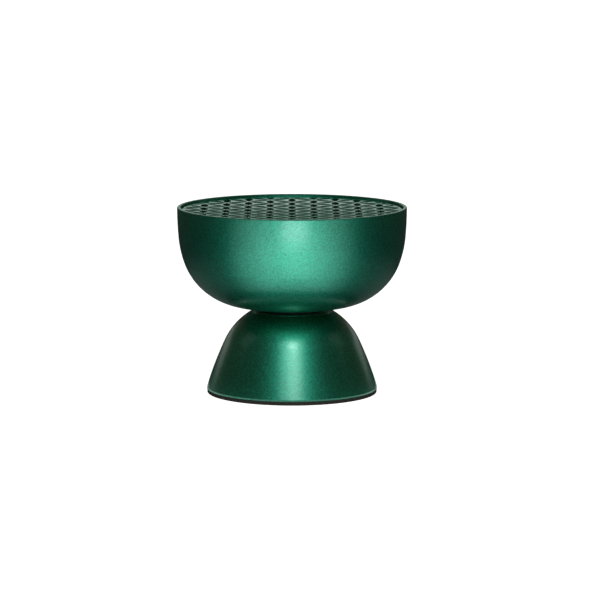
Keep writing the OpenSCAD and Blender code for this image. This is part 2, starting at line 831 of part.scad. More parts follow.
module chassis() {
    color(black) difference() {
        union() {
            rotate_extrude() intersection() {
                base_section(base_wall + seat_gap);
                square([bowl_d, chassis_top_z]);
            }
            for (s = standoffs) translate([s.x, s.y, chassis_top_z - glue])
                cylinder(r = standoff_r, h = standoff_h + glue);
            for (s = [-1, 1]) translate([s * clip_x - clip_w / 2, 0, 0])
                rotate([90, 0, 90]) linear_extrude(clip_w) clip_2d();
        }
        for (a = chassis_post_a) rotate(a) translate([chassis_circle_r, 0, base_z - cut]) {
            cylinder(r = screw_r + fit, h = chassis_t + 2 * cut);
            cylinder(r = screw_head_r + fit, h = screw_head_h + fit + cut);
        }
        for (s = standoffs) translate([s.x, s.y, base_z + standoff_floor])
            cylinder(r = screw_r + fit, h = chassis_t + standoff_h);
    }
}

module chassis_screws() {
    length = chassis_t + post_hole - screw_head_h - screw_tip;
    color(steel) for (a = chassis_post_a) rotate(a)
        translate([chassis_circle_r, 0, base_z + screw_head_h + fit])
        screw(screw_r, screw_head_r, screw_head_h, length);
}

module foot_pad() {
    foot_r = skirt_r - foot_inset;
    edge = 0.15;
    color([0.16, 0.16, 0.14]) rotate_extrude() difference() {
        translate([foot_r - foot_w, 0]) square([foot_w, foot_h]);
        bevel_at([foot_r, 0], edge);
        bevel_at([foot_r - foot_w, 0], edge);
    }
}

module battery() {
    button_h = 0.8;
    rim = 0.6;
    color([0.16, 0.3, 0.55]) translate([0, battery_y, battery_z]) rotate([0, 90, 0]) rotate_extrude()
        difference() {
            translate([0, -battery_l / 2]) square([battery_r, battery_l]);
            translate([battery_r * 0.45, battery_l / 2 - button_h])
                square([battery_r * 0.55 - rim, button_h + cut]);
        }
}

// The pair leaves the cell one above the other and turns to enter the connector side by side
module battery_leads() {
    last = len(battery_route) - 1;
    for (s = [-1, 1]) color(s > 0 ? [0.6, 0.05, 0.05] : black)
        lead([for (i = [0 : last])
            battery_route[i] + s * lead_apart * unit([i, 0, last - i])], lead_d, [0, 1, 0]);
}

module circuit_board() {
    color(board_green) translate([0, 0, board_z]) linear_extrude(board_t) difference() {
        intersection() {
            circle(board_r);
            translate([-board_r, board_front_y]) square([2 * board_r, board_r]);
        }
        for (a = chassis_post_a) rotate(a) translate([chassis_circle_r, 0])
            circle(chassis_post_r + 2 * seat_gap);
        for (s = standoffs) translate(s) circle(screw_r + fit);
        rotate(button_a) translate([-button_lip_r - run, button_lip_x - button_lip_t - button_travel - run])
            square([2 * (button_lip_r + run), board_r]);
    }
}

module board_screws() {
    color(steel) for (s = standoffs) translate([s.x, s.y, board_top_z])
        mirror([0, 0, 1]) screw(screw_r, screw_head_r, screw_head_h, board_t + standoff_h);
}

// Charging socket: a drawn steel shell, closed at its inner end
module usb_socket() {
    color(steel) outwards(0, usb_z) translate([0, 0, usb_mouth_y - usb_l]) difference() {
        linear_extrude(usb_l) slot_2d(usb_w, usb_h - 2 * glue);
        translate([0, 0, usb_l - tongue_l - tongue_back])
            linear_extrude(usb_l) slot_2d(usb_w - 2 * usb_wall, usb_h - 2 * usb_wall);
    }
}

module usb_tongue() {
    color(black) block([0, usb_mouth_y - tongue_back - tongue_l / 2 + glue / 2, usb_z - tongue_t / 2],
        [usb_w - 2 * usb_wall - 2 * tongue_side, tongue_l - glue, tongue_t]);
}

module tact_switch() {
    color(black) rotate(button_a) difference() {
        block([0, tact_face_x - tact_depth / 2, board_top_z], [tact_w, tact_depth, tact_w]);
        translate([0, 0, button_z]) rotate([-90, 0, 0])
            translate([0, 0, tact_face_x - plunger_in - button_travel - run])
            cylinder(r = plunger_r + fit, h = tact_depth);
    }
}

module switch_plunger() {
    color(white) outwards(button_a, button_z) translate([0, 0, tact_face_x - plunger_in])
        cylinder(r = plunger_r, h = plunger_in + plunger_proud);
}

module power_button() {
    color(green) intersection() {
        outwards(button_a, button_z) {
            translate([0, 0, tact_face_x + plunger_proud]) cylinder(r = stem_r, h = stem_l + fit);
            translate([0, 0, button_lip_x - button_lip_t]) cylinder(r = button_lip_r, h = button_lip_t);
            translate([0, 0, button_lip_x - fit]) cylinder(r = button_r, h = base_top_d);
        }
        rotate_extrude() base_section(-button_proud);
    }
}

module status_led() {
    color(white) rotate(-button_a)
        block([0, led_face_x - led_depth / 2, board_top_z], [led_w, led_depth, led_h]);
}

module light_pipe() {
    color(white) intersection() {
        outwards(-button_a, pipe_z) translate([0, 0, led_face_x + glue])
            cylinder(r = pipe_r, h = base_top_d);
        rotate_extrude() base_section(glue);
    }
}

// Place on top of the board, from its place along the front edge and back from it
function on_board(p) = [p.x, board_front_y + p.y, board_top_z];

module radio_module() {
    color(steel) block(on_board(radio_at), radio_size);
}

module amplifier_chip() {
    color(black) block(on_board(chip_at), chip_size);
}

module inductors() {
    color([0.25, 0.25, 0.26]) for (i = [-1, 1]) rotate(-button_a)
        block([i * inductor_apart / 2, inductor_x, board_top_z], inductor_size);
}

module capacitors() {
    color([0.5, 0.52, 0.56]) for (i = [-1, 1]) rotate(button_a)
        translate([i * capacitor_apart / 2, capacitor_x, board_top_z])
        cylinder(r = capacitor_r, h = capacitor_h);
}

// Two pole connector at p, with the leads going in at its top
module connector(p) {
    color(white) block([p.x, p.y, board_top_z], [connector_w, connector_depth, connector_h]);
}

module speaker_connector() {
    connector(speaker_plug);
}

module battery_connector() {
    connector(battery_plug);
}

bowl_shell();
grille();
grille_cloth();
grille_carrier();
baffle();
baffle_screws();
driver_gasket();
driver_basket();
driver_screws();
surround();
cone();
dust_cap();
coil_former();
voice_coil();
spider();
top_plate();
magnet();
yoke();
terminal_strip();
terminal_tags();
speaker_leads();
cable_grommet();
neck_spacer();
neck_screws();
base_shell();
chassis();
chassis_screws();
foot_pad();
battery();
battery_leads();
circuit_board();
board_screws();
usb_socket();
usb_tongue();
tact_switch();
switch_plunger();
power_button();
status_led();
light_pipe();
radio_module();
amplifier_chip();
inductors();
capacitors();
speaker_connector();
battery_connector();
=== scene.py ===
"""Dresses a packed tabletop wireless speaker: soft pieces, finishes, studio and camera."""
import math

import bpy
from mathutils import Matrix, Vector


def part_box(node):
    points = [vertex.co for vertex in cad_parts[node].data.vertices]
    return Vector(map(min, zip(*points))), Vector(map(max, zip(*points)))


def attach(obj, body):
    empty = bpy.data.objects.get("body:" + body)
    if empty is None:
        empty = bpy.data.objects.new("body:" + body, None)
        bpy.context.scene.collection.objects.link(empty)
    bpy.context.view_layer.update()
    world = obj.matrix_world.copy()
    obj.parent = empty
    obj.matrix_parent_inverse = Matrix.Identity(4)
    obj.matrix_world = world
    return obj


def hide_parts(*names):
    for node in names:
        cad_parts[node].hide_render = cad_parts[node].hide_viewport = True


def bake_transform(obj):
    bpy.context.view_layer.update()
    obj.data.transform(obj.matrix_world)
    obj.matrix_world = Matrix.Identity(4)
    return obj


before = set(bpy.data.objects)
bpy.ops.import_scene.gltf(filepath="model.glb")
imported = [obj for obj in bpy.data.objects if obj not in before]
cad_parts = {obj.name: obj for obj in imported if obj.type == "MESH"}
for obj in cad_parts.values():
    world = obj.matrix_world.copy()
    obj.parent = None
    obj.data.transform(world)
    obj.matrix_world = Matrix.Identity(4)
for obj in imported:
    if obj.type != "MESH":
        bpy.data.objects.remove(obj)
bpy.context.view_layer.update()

bl_info = {
    "name": "Tabletop speaker dressing",
    "version": (1, 0, 0),
    "blender": (4, 5, 0),
    "location": "View3D > Sidebar > Speaker",
    "description": "Soft pieces, finishes and studio for a small tabletop speaker",
    "category": "Object",
}

# Nodes that share a finish
ALUMINIUM = ("bowl_shell", "power_button")
PLASTIC = ("grille_carrier", "baffle", "neck_spacer", "chassis", "tact_switch", "usb_tongue",
           "amplifier_chip")
RUBBER = ("driver_gasket", "cable_grommet", "foot_pad")
STEEL = ("baffle_screws", "driver_basket", "driver_screws", "top_plate", "yoke", "neck_screws",
         "chassis_screws", "board_screws", "usb_socket", "radio_module")
PAPER = ("cone", "dust_cap")
FOIL = ("coil_former", "capacitors")
FERRITE = ("magnet", "inductors")
NYLON = ("switch_plunger", "speaker_connector", "battery_connector")
LEADS = ("speaker_leads", "battery_leads")

# Light that comes up from the floor, by the distance from the speaker's axis in metres
GLOW = ((0, 0), (0.02, 0.02), (0.036, 0.1), (0.042, 0.22), (0.05, 0.38), (0.06, 0.5), (0.084, 0.68),
        (0.13, 0.9), (0.2, 1))
GLOW_REACH = 0.2
# Strength of that light in front, and the angles from straight behind at which it starts and is full
GLOW_FRONT = 1.42
GLOW_TURN = (2.0, 2.75)
# Strength of that light elsewhere, near the speaker and far from it, and the distances it changes over
GLOW_SIDE = (0.14, 0.02)
GLOW_FADE = (0.08, 0.2)

# Sizes of the floor and of the light on it, in metres
FLOOR_SIZE = 12
FLOOR_CELLS = 8
GLOW_SIZE = 1.2
GLOW_LEVEL = 0.0005
SKIRT_RING = (0.037, 0.05)
SKIRT_LEVEL = 0.0006
SKIRT_SIDES = 64
CARD_LEVEL = 0.001

# Points that the lights face
BASE_MIDDLE = (0, 0, 0.02)
GRILLE_MIDDLE = (0, 0, 0.07)
RIM_MIDDLE = (0, 0, 0.08)

# Colours of the lights
WHITE = (1, 1, 1)
COOL = (0.93, 0.98, 1)
COOL_GLINT = (0.9, 0.95, 1)
COOL_STRIP = (0.86, 0.93, 1)
PALE_GLINT = (0.94, 0.93, 1)
WARM_ROOM = (1, 0.84, 0.55)

# Fineness of the soft pieces: sides of a turned sheet, rings of the cloth and points on a pleat
SIDES = 144
CLOTH_RINGS = 14
PLEAT_STEPS = 10
# Pleats grow to their full height over one part in this many of the ring's width, at each end
PLEAT_FADE = 6
# Length of one wave of Blender's wave texture at a scale of 1
WAVE_LENGTH = math.pi / 10
# Distance within which points are one point, and the angle from which an edge stays sharp
MERGE = 0.000001
CREASE = math.radians(40)


# Properties

class SpeakerFinish(bpy.types.PropertyGroup):
    """Colours and grain of the outer finishes"""
    green: bpy.props.FloatVectorProperty(
        name="Anodised green", description="Colour of the dyed aluminium", subtype="COLOR", size=3,
        min=0, max=1, default=(0.03, 0.5, 0.318))
    green_deep: bpy.props.FloatVectorProperty(
        name="Deep green", description="Colour in the pits of the blasted surface", subtype="COLOR", size=3,
        min=0, max=1, default=(0.012, 0.25, 0.15))
    blast_size: bpy.props.FloatProperty(
        name="Blast grain", description="Size of the pits that bead blasting leaves", unit="LENGTH",
        min=0.00005, max=0.002, default=0.0005)
    satin: bpy.props.FloatProperty(
        name="Satin", description="Roughness of the blasted metal", subtype="FACTOR",
        min=0, max=1, default=0.44)
    foot: bpy.props.FloatVectorProperty(
        name="Foot rubber", description="Colour of the moulded foot", subtype="COLOR", size=3,
        min=0, max=1, default=(0.018, 0.019, 0.014))
    black: bpy.props.FloatVectorProperty(
        name="Black plastic", description="Colour of the moulded plastic", subtype="COLOR", size=3,
        min=0, max=1, default=(0.012, 0.012, 0.013))


class SpeakerSoft(bpy.types.PropertyGroup):
    """Sizes of the soft pieces"""
    cloth_thickness: bpy.props.FloatProperty(
        name="Cloth thickness", description="Thickness of the acoustic cloth", unit="LENGTH",
        min=0.0001, max=0.0004, default=0.00028)
    thread: bpy.props.FloatProperty(
        name="Thread pitch", description="Distance between the threads of the cloth", unit="LENGTH",
        min=0.0002, max=0.002, default=0.0006)
    sheet: bpy.props.FloatProperty(
        name="Pleated sheet", description="Thickness of the surround and the spider", unit="LENGTH",
        min=0.0001, max=0.0006, default=0.0004)
    pleat: bpy.props.FloatProperty(
        name="Pleat height", description="Height of a pleat above the middle of its sheet", unit="LENGTH",
        min=0, max=0.0005, default=0.00032)


class SpeakerStudio(bpy.types.PropertyGroup):
    """Place and lens of the camera"""
    distance: bpy.props.FloatProperty(
        name="Camera distance", description="From the camera to the middle of the speaker", unit="LENGTH",
        min=0.2, max=5, default=1.35)
    tilt: bpy.props.FloatProperty(
        name="Camera elevation", description="Angle of the camera above the table", subtype="ANGLE",
        min=0, max=1.5, default=math.radians(8.2))
    aim: bpy.props.FloatProperty(
        name="Aim height", description="Height that the middle of the picture looks at", unit="LENGTH",
        min=0, max=0.2, default=0.03712)
    lens: bpy.props.FloatProperty(
        name="Lens", description="Focal length of the camera, in millimetres",
        min=20, max=400, default=201.7)
    aside: bpy.props.FloatProperty(
        name="Shift", description="Sideways shift of the picture, as a share of its width",
        min=-0.1, max=0.1, default=0.0133)


# Materials

def surface(name, metallic=0.0, roughness=0.5, **sockets):
    """New material with one Principled shader and its output."""
    material = bpy.data.materials.new(name)
    material.use_nodes = True
    tree = material.node_tree
    tree.nodes.clear()
    out = tree.nodes.new("ShaderNodeOutputMaterial")
    shader = tree.nodes.new("ShaderNodeBsdfPrincipled")
    tree.links.new(shader.outputs["BSDF"], out.inputs["Surface"])
    shader.inputs["Metallic"].default_value = metallic
    shader.inputs["Roughness"].default_value = roughness
    for key, value in sockets.items():
        shader.inputs[key.replace("_", " ").title().replace("Ior", "IOR")].default_value = value
    return material, tree, shader


def grain(tree, size, detail=3.0, rough=0.55, stretch=(1, 1, 1)):
    """Noise of a given size in metres on object coordinates."""
    place = tree.nodes.new("ShaderNodeTexCoord")
    turn = tree.nodes.new("ShaderNodeMapping")
    turn.inputs["Scale"].default_value = stretch
    noise = tree.nodes.new("ShaderNodeTexNoise")
    noise.inputs["Scale"].default_value = 1 / size
    noise.inputs["Detail"].default_value = detail
    noise.inputs["Roughness"].default_value = rough
    tree.links.new(place.outputs["Object"], turn.inputs["Vector"])
    tree.links.new(turn.outputs["Vector"], noise.inputs["Vector"])
    return noise.outputs["Fac"]


def bands(tree, pitch, axis):
    """Fine even waves along one axis of the object, for threads and windings."""
    place = tree.nodes.new("ShaderNodeTexCoord")
    wave = tree.nodes.new("ShaderNodeTexWave")
    wave.wave_type = "BANDS"
    wave.bands_direction = axis
    wave.inputs["Scale"].default_value = WAVE_LENGTH / pitch
    tree.links.new(place.outputs["Object"], wave.inputs["Vector"])
    return wave.outputs["Fac"]


def shade(colour, factor):
    """Colour made darker or paler."""
    return [min(1, channel * factor) for channel in colour]


def ramp(tree, value, low, high, start=0.3, end=0.7):
    """Colours between low and high as a value goes from start to end."""
    node = tree.nodes.new("ShaderNodeValToRGB")
    first, last = node.color_ramp.elements
    first.position, last.position = start, end
    first.color, last.color = (*low, 1), (*high, 1)
    tree.links.new(value, node.inputs["Fac"])
    return node.outputs["Color"]


def spread(tree, value, low, high, start=0.0, end=1.0):
    """Value from start to end mapped to low to high."""
    node = tree.nodes.new("ShaderNodeMapRange")
    node.inputs["From Min"].default_value = start
    node.inputs["From Max"].default_value = end
    node.inputs["To Min"].default_value = low
    node.inputs["To Max"].default_value = high
    tree.links.new(value, node.inputs["Value"])
    return node.outputs["Result"]


def join(tree, a, b, operation="MULTIPLY"):
    """Two values put together."""
    node = tree.nodes.new("ShaderNodeMath")
    node.operation = operation
    tree.links.new(a, node.inputs[0])
    tree.links.new(b, node.inputs[1])
    return node.outputs["Value"]


def emboss(tree, shader, height, depth, strength=1.0):
    """Bump of a real depth in metres on a shader."""
    node = tree.nodes.new("ShaderNodeBump")
    node.inputs["Distance"].default_value = depth
    node.inputs["Strength"].default_value = strength
    tree.links.new(height, node.inputs["Height"])
    tree.links.new(node.outputs["Normal"], shader.inputs["Normal"])


def grained(name, low, high, size, roughness, depth, metallic=0.0, detail=3.0, stretch=(1, 1, 1),
            **sockets):
    """Finish with a grain in its colour, its roughness and its height."""
    material, tree, shader = surface(name, metallic, **sockets)
    noise = grain(tree, size, detail, stretch=stretch)
    tree.links.new(ramp(tree, noise, low, high), shader.inputs["Base Color"])
    tree.links.new(spread(tree, noise, *roughness), shader.inputs["Roughness"])
    emboss(tree, shader, noise, depth)
    return material


def anodised_aluminium(name, finish, seal):
    """Bead blasted, dyed and sealed aluminium: fine sparkling pits under a thin clear layer."""
    material, tree, shader = surface(name, 1.0, coat_weight=seal, coat_roughness=0.22, coat_ior=1.6)
    pits = grain(tree, finish.blast_size, detail=2.0, rough=0.6)
    cloud = grain(tree, size=0.012, detail=2.0)
    dye = ramp(tree, pits, finish.green_deep, finish.green, start=0.35, end=0.65)
    tree.links.new(dye, shader.inputs["Base Color"])
    swing = 0.08
    rough = join(tree, spread(tree, pits, finish.satin - swing, finish.satin + swing),
                 spread(tree, cloud, 0.95, 1.05))
    tree.links.new(rough, shader.inputs["Roughness"])
    emboss(tree, shader, pits, depth=0.00003, strength=0.6)
    return material


def woven(name, low, high, pitch, depth, sheen):
    """Plain weave of crossing threads."""
    material, tree, shader = surface(name, roughness=0.9, sheen_weight=sheen, sheen_roughness=0.4)
    weave = join(tree, bands(tree, pitch, "X"), bands(tree, pitch, "Y"))
    tree.links.new(ramp(tree, weave, low, high, start=0.1, end=0.8), shader.inputs["Base Color"])
    emboss(tree, shader, weave, depth)
    return material


def wound_copper():
    """Enamelled wire wound along the axis of the coil."""
    material, tree, shader = surface("wound_copper", metallic=1.0, roughness=0.3, coat_weight=0.4)
    wire = bands(tree, pitch=0.0002, axis="Z")
    enamel = ramp(tree, wire, (0.2, 0.07, 0.03), (0.72, 0.3, 0.14), start=0.2, end=0.7)
    tree.links.new(enamel, shader.inputs["Base Color"])
    emboss(tree, shader, wire, depth=0.00006)
    return material


def solder_mask():
    """Green lacquer over fine copper tracks."""
    material, tree, shader = surface("solder_mask", roughness=0.35, coat_weight=0.3)
    place = tree.nodes.new("ShaderNodeTexCoord")
    tracks = tree.nodes.new("ShaderNodeTexBrick")
    tracks.inputs["Scale"].default_value = 260
    tracks.inputs["Mortar Size"].default_value = 0.05
    tracks.inputs["Color1"].default_value = (0.004, 0.06, 0.022, 1)
    tracks.inputs["Color2"].default_value = (0.006, 0.085, 0.03, 1)
    tracks.inputs["Mortar"].default_value = (0.02, 0.2, 0.07, 1)
    tree.links.new(place.outputs["Object"], tracks.inputs["Vector"])
    tree.links.new(tracks.outputs["Color"], shader.inputs["Base Color"])
    emboss(tree, shader, tracks.outputs["Fac"], depth=0.00003)
    return material


def frosted_pipe():
    """Clear moulded plastic with a matt end."""
    material, tree, shader = surface("frosted_pipe", roughness=0.35, transmission_weight=0.85, ior=1.49)
    noise = grain(tree, size=0.0004)
    tint = ramp(tree, noise, (0.75, 0.78, 0.77), (0.92, 0.94, 0.93))
    tree.links.new(tint, shader.inputs["Base Color"])
    tree.links.new(spread(tree, noise, 0.3, 0.5), shader.inputs["Roughness"])
    return material


def wear(names, material):
    """Gives CAD nodes one finish."""
    for name in names:
        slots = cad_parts[name].data.materials
        slots.clear()
        slots.append(material)


# Modelling helpers

def fresh():
    """Leaves edit mode with nothing selected."""
    if bpy.context.mode != "OBJECT":
        bpy.ops.object.mode_set(mode="OBJECT")
    bpy.ops.object.select_all(action="DESELECT")


def flat(name, size, height):
    """Level square grid with its middle on the axis."""
    fresh()
    bpy.ops.mesh.primitive_grid_add(x_subdivisions=FLOOR_CELLS, y_subdivisions=FLOOR_CELLS, size=size,
                                    location=(0, 0, height))
    bpy.ops.object.transform_apply(location=True, rotation=True, scale=True)
    plane = bpy.context.active_object
    plane.name = plane.data.name = name
    return plane


def revolve(name, profile, sides=SIDES):
    """Sheet swept round the axis: a circle at a profile's first point, extruded on to each next one."""
    fresh()
    radius, height = profile[0]
    bpy.ops.mesh.primitive_circle_add(vertices=sides, radius=radius, location=(0, 0, height))
    piece = bpy.context.active_object
    piece.name = piece.data.name = name
    bpy.ops.object.transform_apply(location=True, rotation=True, scale=True)
    bpy.ops.object.mode_set(mode="EDIT")
    bpy.ops.mesh.select_mode(type="EDGE")
    bpy.ops.mesh.select_all(action="SELECT")
    for next_radius, next_height in profile[1:]:
        bpy.ops.mesh.extrude_edges_move(TRANSFORM_OT_translate={"value": (0, 0, next_height - height)})
        share = next_radius / radius
        bpy.ops.transform.resize(value=(share, share, 1), center_override=(0, 0, next_height))
        radius, height = next_radius, next_height
    return piece


def finish_sheet(piece, thickness, offset):
    """Merges the points of a sheet, makes its normals agree and gives it its thickness."""
    bpy.ops.mesh.select_all(action="SELECT")
    bpy.ops.mesh.remove_doubles(threshold=MERGE)
    bpy.ops.mesh.normals_make_consistent(inside=False)
    bpy.ops.object.mode_set(mode="OBJECT")
    wall = piece.modifiers.new("wall", "SOLIDIFY")
    wall.thickness = thickness
    wall.offset = offset
    bpy.ops.object.modifier_apply(modifier=wall.name)
    bpy.ops.object.shade_smooth_by_angle(angle=CREASE)


def pleated(inner, outer, lip_in, lip_out, waves, height):
    """Profile of a pleated ring from inner to outer: flat lips, and pleats that fade towards them."""
    steps = PLEAT_STEPS * waves
    (r0, z0), (r1, z1) = inner, outer
    points = [(r0 - lip_in, z0)] if lip_in else []
    for i in range(steps + 1):
        t = i / steps
        lift = height * math.sin(2 * math.pi * waves * t) * min(1, PLEAT_FADE * t, PLEAT_FADE * (1 - t))
        points.append((r0 + (r1 - r0) * t, z0 + (z1 - z0) * t + lift))
    return points + [(r1 + lip_out, z1)]


# Operators

class SPEAKER_OT_shells(bpy.types.Operator):
    """Gives the bowl, the base, the grille and the button their blasted green finish"""
    bl_idname = "speaker.shells"
    bl_label = "Aluminium shells"
    bl_options = {"REGISTER", "UNDO"}

    def execute(self, context):
        finish = context.scene.speaker_finish
        wear(ALUMINIUM, anodised_aluminium("anodised_aluminium", finish, seal=0.85))
        wear(("base_shell",), anodised_aluminium("anodised_dome", finish, seal=1.0))
        wear(("grille",), anodised_aluminium("anodised_sheet", finish, seal=1.0))
        return {"FINISHED"}


class SPEAKER_OT_cloth(bpy.types.Operator):
    """Stretches the acoustic cloth under the dished grille"""
    bl_idname = "speaker.cloth"
    bl_label = "Acoustic cloth"
    bl_options = {"REGISTER", "UNDO"}

    def execute(self, context):
        soft = context.scene.speaker_soft
        low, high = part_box("grille_cloth")
        reach = high.x
        solid_cloth = 0.0003
        sag = high.z - low.z - solid_cloth
        shares = [1 - i / CLOTH_RINGS for i in range(CLOTH_RINGS)]
        profile = [(reach * share, high.z - sag * (1 - share ** 2)) for share in shares]
        cloth = revolve("acoustic_cloth", profile)
        bpy.ops.mesh.edge_face_add()
        bpy.ops.mesh.poke()
        finish_sheet(cloth, soft.cloth_thickness, offset=-1)
        # Black cloth, set far darker than any real fabric: painted shade that stands in for the shadow
        # inside the grille's openings.
        cloth.data.materials.append(
            woven("acoustic_weave_with_painted_shade", (0.0006, 0.0006, 0.0006), (0.005, 0.005, 0.005), soft.thread,
                  depth=0.00012, sheen=0.0))
        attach(cloth, "housing")
        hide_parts("grille_cloth")
        return {"FINISHED"}


class SPEAKER_OT_surround(bpy.types.Operator):
    """Moulds the soft ring between the cone and the basket"""
    bl_idname = "speaker.surround"
    bl_label = "Surround"
    bl_options = {"REGISTER", "UNDO"}

    def execute(self, context):
        soft = context.scene.speaker_soft
        low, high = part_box("surround")
        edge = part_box("cone")[1].x
        lip_in = 0.0016
        lip_out = 0.0034
        middle = 0.00025
        inner = (edge, low.z + middle)
        outer = (high.x - lip_out, high.z - middle)
        ring = revolve("surround_ring", pleated(inner, outer, lip_in, lip_out, waves=2, height=soft.pleat))
        finish_sheet(ring, soft.sheet, offset=0)
        ring.data.materials.append(
            grained("surround_rubber", (0.006, 0.006, 0.006), (0.016, 0.016, 0.016),
                    size=0.0006, roughness=(0.55, 0.75), depth=0.00002))
        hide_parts("surround")
        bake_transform(ring)
        return {"FINISHED"}


class SPEAKER_OT_spider(bpy.types.Operator):
    """Presses the pleated cloth ring that centres the voice coil"""
    bl_idname = "speaker.spider"
    bl_label = "Spider"
    bl_options = {"REGISTER", "UNDO"}

    def execute(self, context):
        soft = context.scene.speaker_soft
        low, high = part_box("spider")
        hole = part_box("voice_coil")[1].x
        lip_out = 0.0012
        middle = 0.0003
        grip = 0.0001
        inner = (hole - grip, high.z - middle)
        outer = (high.x - lip_out, low.z + middle)
        ring = revolve("spider_ring", pleated(inner, outer, 0, lip_out, waves=3, height=soft.pleat))
        finish_sheet(ring, soft.sheet, offset=0)
        ring.data.materials.append(
            woven("spider_weave", (0.2, 0.12, 0.03), (0.5, 0.33, 0.1), soft.thread,
                  depth=0.0001, sheen=0.15))
        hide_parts("spider")
        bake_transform(ring)
        return {"FINISHED"}


class SPEAKER_OT_mouldings(bpy.types.Operator):
    """Gives the plastic and rubber mouldings their finishes"""
    bl_idname = "speaker.mouldings"
    bl_label = "Mouldings"
    bl_options = {"REGISTER", "UNDO"}

    def execute(self, context):
        finish = context.scene.speaker_finish
        wear(PLASTIC, grained("moulded_black", finish.black, shade(finish.black, factor=1.9),
                              size=0.0005, roughness=(0.42, 0.62), depth=0.00002))
        wear(RUBBER, grained("moulded_rubber", shade(finish.foot, factor=0.7),
                             shade(finish.foot, factor=1.5),
                             size=0.0007, roughness=(0.6, 0.85), depth=0.00003))
        wear(NYLON, grained("natural_nylon", (0.62, 0.6, 0.54), (0.74, 0.72, 0.66),
                            size=0.0008, roughness=(0.35, 0.5), depth=0.00001, subsurface_weight=0.1))
        wear(("light_pipe",), frosted_pipe())
        wear(("status_led",), grained("led_epoxy", (0.7, 0.62, 0.3), (0.85, 0.8, 0.5),
                                      size=0.0008, roughness=(0.2, 0.35), depth=0.00001))
        wear(("terminal_strip",), grained("phenolic_sheet", (0.16, 0.07, 0.025), (0.3, 0.15, 0.06),
                                          size=0.0006, roughness=(0.4, 0.6), depth=0.00002,
                                          stretch=(0.2, 1, 1)))
        wear(LEADS, grained("lead_insulation", (0.11, 0.008, 0.008), (0.17, 0.014, 0.012),
                            size=0.0012, roughness=(0.3, 0.45), depth=0.00001))
        return {"FINISHED"}


class SPEAKER_OT_metals(bpy.types.Operator):
    """Gives the steel, copper, brass and foil pieces their finishes"""
    bl_idname = "speaker.metals"
    bl_label = "Metal pieces"
    bl_options = {"REGISTER", "UNDO"}

    def execute(self, context):
        wear(STEEL, grained("zinc_plated_steel", (0.42, 0.43, 0.45), (0.62, 0.63, 0.64),
                            size=0.0015, roughness=(0.22, 0.42), depth=0.00001, metallic=1.0,
                            stretch=(1, 6, 1)))
        wear(FOIL, grained("rolled_aluminium", (0.58, 0.59, 0.61), (0.76, 0.77, 0.79),
                           size=0.0012, roughness=(0.2, 0.36), depth=0.00001, metallic=1.0,
                           stretch=(1, 1, 5)))
        wear(("terminal_tags",), grained("tinned_brass", (0.5, 0.4, 0.2), (0.72, 0.6, 0.34),
                                         size=0.0008, roughness=(0.25, 0.4), depth=0.00001, metallic=1.0))
        wear(("voice_coil",), wound_copper())
        return {"FINISHED"}


class SPEAKER_OT_driver(bpy.types.Operator):
    """Gives the paper, ferrite, battery and board pieces their finishes"""
    bl_idname = "speaker.driver"
    bl_label = "Driver and power pieces"
    bl_options = {"REGISTER", "UNDO"}

    def execute(self, context):
        wear(PAPER, grained("pressed_paper", (0.008, 0.008, 0.008), (0.03, 0.029, 0.027),
                            size=0.0009, roughness=(0.7, 0.9), depth=0.00006, detail=5.0,
                            stretch=(1, 1, 2)))
        wear(FERRITE, grained("sintered_ferrite", (0.02, 0.02, 0.021), (0.05, 0.05, 0.052),
                              size=0.0004, roughness=(0.45, 0.7), depth=0.00003))
        wear(("battery",), grained("shrink_sleeve", (0.01, 0.035, 0.16), (0.016, 0.06, 0.24),
                                   size=0.003, roughness=(0.18, 0.3), depth=0.00002, coat_weight=0.3))
        wear(("circuit_board",), solder_mask())
        return {"FINISHED"}


# Studio

def card(name, size, place, power, colour=WHITE, aim=BASE_MIDDLE):
    """Soft light of some watts that no camera sees: an even rectangle turned to face a point."""
    light = bpy.data.lights.new(name, "AREA")
    light.shape = "RECTANGLE"
    light.size, light.size_y = size
    light.energy = power
    light.color = colour
    lamp = bpy.data.objects.new(name, light)
    bpy.context.scene.collection.objects.link(lamp)
    lamp.location = place
    lamp.rotation_euler = (Vector(aim) - Vector(place)).to_track_quat("-Z", "Y").to_euler()
    lamp.visible_camera = False
    return lamp


def aim_at(node, lamp):
    """Keeps a light on one piece alone, as a snoot does."""
    lit = bpy.data.collections.new("lit_" + node)
    lit.objects.link(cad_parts[node])
    lamp.light_linking.receiver_collection = lit


def spare(node, lamp):
    """Keeps a light off one piece, as a flag does."""
    unlit = bpy.data.collections.new("unlit_" + node)
    unlit.objects.link(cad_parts[node])
    unlit.collection_objects[0].light_linking.link_state = "EXCLUDE"
    lamp.light_linking.receiver_collection = unlit


def floor_card(name, size, x, y, power, colour):
    """Light that lies on the floor and shines straight up, on the bowl alone."""
    aim_at("bowl_shell", card(name, size, (x, y, CARD_LEVEL), power, colour, aim=(x, y, 1)))


